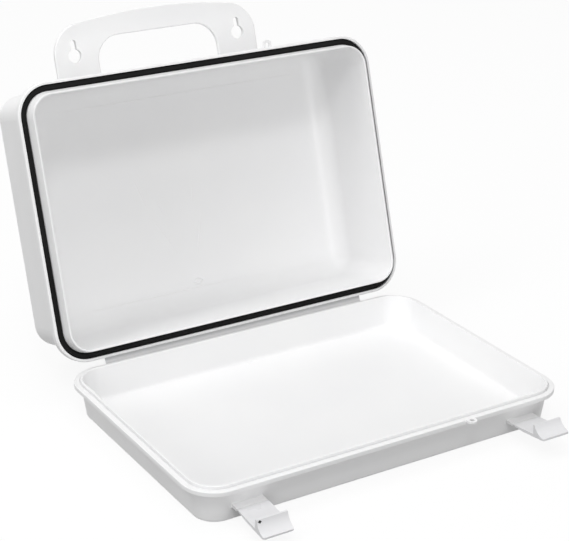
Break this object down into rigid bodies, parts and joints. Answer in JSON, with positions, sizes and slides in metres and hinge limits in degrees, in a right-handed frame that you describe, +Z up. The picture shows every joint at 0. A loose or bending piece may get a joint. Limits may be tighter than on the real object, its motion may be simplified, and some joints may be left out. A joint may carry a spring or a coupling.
{
  "type": "first aid box",
  "caption": "Open white plastic wall case with hinged lid, black rim gasket, carry handle with keyholes and snap latches.",
  "frame": {"origin": "centre of the lid's flat outer face, on which the open box stands", "axes": "+X runs along the main hinge towards the right-hand latch, +Y from the latches towards the hinge, +Z up"},
  "size_m": [0.254, 0.3214, 0.2121],
  "materials": {
    "shell": "satin moulded polypropylene, white",
    "hinge": "thin flexed polypropylene, white",
    "latch": "satin moulded polypropylene, white",
    "gasket": "soft black sealing rubber"
  },
  "bodies": {
    "lid": {"lid_shell": "shell", "hinge_web": "hinge", "latch_web_left": "hinge", "latch_web_right": "hinge"},
    "back_case": {"back_shell": "shell", "carry_handle": "shell", "gasket": "gasket"},
    "left_latch": {"latch_left": "latch"},
    "right_latch": {"latch_right": "latch"}
  },
  "joints": [
    {"name": "main_hinge", "type": "hinge", "parent": "lid", "child": "back_case", "pos_m": [0, 0.0887, 0.0242], "axis": [1, 0, 0], "range_deg": [-19, 107], "deforming": ["hinge_web"]},
    {"name": "left_latch_hinge", "type": "hinge", "parent": "lid", "child": "left_latch", "pos_m": [-0.0945, -0.0879, 0.0105], "axis": [-1, 0, 0], "range_deg": [-10.6, 96.4], "deforming": ["latch_web_left"]},
    {"name": "right_latch_hinge", "type": "hinge", "parent": "lid", "child": "right_latch", "pos_m": [0.0945, -0.0879, 0.0105], "axis": [-1, 0, 0], "range_deg": [-23.6, 83.4], "deforming": ["latch_web_right"]}
  ]
}
